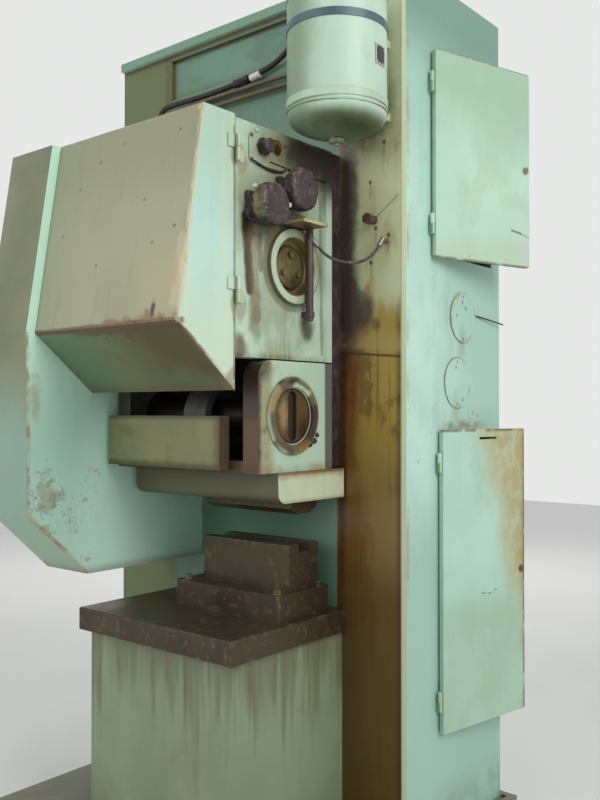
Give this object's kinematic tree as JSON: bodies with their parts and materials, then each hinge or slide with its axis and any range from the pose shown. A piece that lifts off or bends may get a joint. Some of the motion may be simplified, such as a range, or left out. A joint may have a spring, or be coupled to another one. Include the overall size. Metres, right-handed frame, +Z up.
{
  "type": "cold forging press",
  "caption": "Upright cold forging press: a welded column with a crank-driven ram in a hooded head, a guarded belt-driven flywheel, side cabinets, an air receiver and a die bed.",
  "frame": {"origin": "on the floor under the base plate, at the middle of the column width and in the front plane of the column", "axes": "+Z up, +Y from the operator into the machine, +X to the operator's right"},
  "size_m": [1.7218, 1.61, 3.17],
  "materials": {
    "mint_paint": "pale mint machine enamel, semi-gloss, stained and chipped",
    "oily_paint": "green enamel under brown oil film",
    "inner_paint": "plain inner coat of enamel",
    "door_paint": "pale mint enamel, semi-gloss, scratched",
    "zinc_plate": "dull zinc plate",
    "switch_plastic": "moulded black plastic",
    "head_paint": "pale green enamel with oil runs",
    "hood_paint": "dulled beige-green enamel, edges worn to metal",
    "guard_paint": "faded turquoise-green enamel with rust along the folds",
    "ram_paint": "oily olive-green enamel",
    "machined_steel": "turned steel, lightly oiled",
    "slide_steel": "ground steel, dark with oil",
    "tool_steel": "milled tool steel, dark with oil",
    "forged_steel": "forged surface, oiled",
    "grey_iron": "turned grey iron",
    "bronze": "plain bearing bronze",
    "motor_paint": "grey-blue motor enamel",
    "receiver_paint": "pale mint enamel, satin, dusty",
    "valve_iron": "dark castings, oily",
    "cream_paint": "yellowed cream enamel",
    "belt_rubber": "black moulded rubber",
    "hose_rubber": "black rubber sheath"
  },
  "bodies": {
    "frame": {"air_hose": "hose_rubber", "air_receiver": "receiver_paint", "air_valves": "valve_iron", "base_plate": "mint_paint", "bearing_housings": "grey_iron", "bed_apron": "head_paint", "bed_sides": "head_paint", "bolster_plate": "slide_steel", "cabinet_shelves": "inner_paint", "cable_gland": "valve_iron", "cheek_hatch": "head_paint", "column_front_plate": "oily_paint", "column_left_plate": "mint_paint", "column_rear_plate": "mint_paint", "column_right_plate": "mint_paint", "column_top_plate": "mint_paint", "crank_bushes": "bronze", "die_block": "tool_steel", "die_shoe": "tool_steel", "drive_belts": "belt_rubber", "drive_motor": "motor_paint", "flywheel_guard": "guard_paint", "frame_ribs": "inner_paint", "front_cable": "hose_rubber", "front_pipes": "zinc_plate", "head_cheek_left": "head_paint", "head_cheek_right": "head_paint", "head_roof": "head_paint", "hinge_pins": "zinc_plate", "hose_fittings": "zinc_plate", "motor_shelf": "inner_paint", "mounting_plates": "zinc_plate", "rear_cover": "mint_paint", "receiver_bands": "head_paint", "receiver_brackets": "head_paint", "recess_panel": "mint_paint", "side_covers": "mint_paint", "slide_rails": "slide_steel", "stop_valve": "head_paint", "switchgear": "switch_plastic", "valve_pipe": "head_paint", "valve_shelf": "cream_paint"},
    "crank": {"crankshaft": "machined_steel", "crank_end_plate": "machined_steel", "clutch_disc": "grey_iron"},
    "rod": {"connecting_rod": "forged_steel"},
    "ram": {"ram_body": "ram_paint", "wrist_pin": "machined_steel", "pin_ring": "machined_steel", "punch_holder": "tool_steel", "punch_block": "tool_steel"},
    "flywheel_body": {"flywheel": "grey_iron"},
    "motor_rotor": {"motor_shaft": "machined_steel", "motor_pulley": "grey_iron"},
    "upper_door_body": {"upper_door": "door_paint"},
    "lower_door_body": {"lower_door": "door_paint"},
    "upper_lock_body": {"upper_door_lock": "zinc_plate"},
    "lower_lock_body": {"lower_door_lock": "zinc_plate"},
    "hood_body": {"front_hood": "hood_paint"},
    "knob_body": {"stop_valve_knob": "switch_plastic"}
  },
  "joints": [
    {"name": "crank_turn", "type": "hinge", "parent": "frame", "child": "crank", "pos_m": [0.135, -0.28, 2.087], "axis": [1, 0, 0], "range_deg": [0, 180]},
    {"name": "rod_swing", "type": "hinge", "parent": "crank", "child": "rod", "pos_m": [0.135, -0.28, 2.117], "axis": [1, 0, 0], "range_deg": [-180, 0]},
    {"name": "ram_stroke", "type": "slide", "parent": "frame", "child": "ram", "axis": [0, 0, -1], "range_m": [0, 0.06]},
    {"name": "flywheel_spin", "type": "hinge", "parent": "frame", "child": "flywheel_body", "pos_m": [-0.38, -0.28, 2.087], "axis": [1, 0, 0], "continuous": true},
    {"name": "motor_spin", "type": "hinge", "parent": "frame", "child": "motor_rotor", "pos_m": [-0.38, 0.45, 2.087], "axis": [1, 0, 0], "continuous": true},
    {"name": "upper_door_swing", "type": "hinge", "parent": "frame", "child": "upper_door_body", "pos_m": [0.766, 0.176, 2.532], "axis": [0, 0, -1], "range_deg": [-17, 93]},
    {"name": "lower_door_swing", "type": "hinge", "parent": "frame", "child": "lower_door_body", "pos_m": [0.766, 0.223, 0.9735], "axis": [0, 0, -1], "range_deg": [-11, 99]},
    {"name": "upper_lock_turn", "type": "hinge", "parent": "upper_door_body", "child": "upper_lock_body", "pos_m": [0.90458, 0.62929, 2.532], "axis": [0.9563, -0.2924, 0], "range_deg": [0, 90]},
    {"name": "lower_lock_turn", "type": "hinge", "parent": "lower_door_body", "child": "lower_lock_body", "pos_m": [0.8553, 0.6824, 0.9735], "axis": [0.9816, -0.1908, 0], "range_deg": [0, 90]},
    {"name": "hood_swing", "type": "hinge", "parent": "frame", "child": "hood_body", "pos_m": [0.502, -0.56, 2.2], "axis": [0, 0, 1], "range_deg": [0, 95]},
    {"name": "knob_turn", "type": "hinge", "parent": "frame", "child": "knob_body", "pos_m": [0.632, -0.03, 2.274], "axis": [0, -1, 0], "range_deg": [0, 270]}
  ],
  "couplings": [
    {"joint": "ram_stroke", "follows": "crank_turn", "m_per_rad": 0.019099},
    {"joint": "rod_swing", "follows": "crank_turn", "ratio": -1},
    {"joint": "motor_spin", "follows": "flywheel_spin", "ratio": 4.8242}
  ]
}
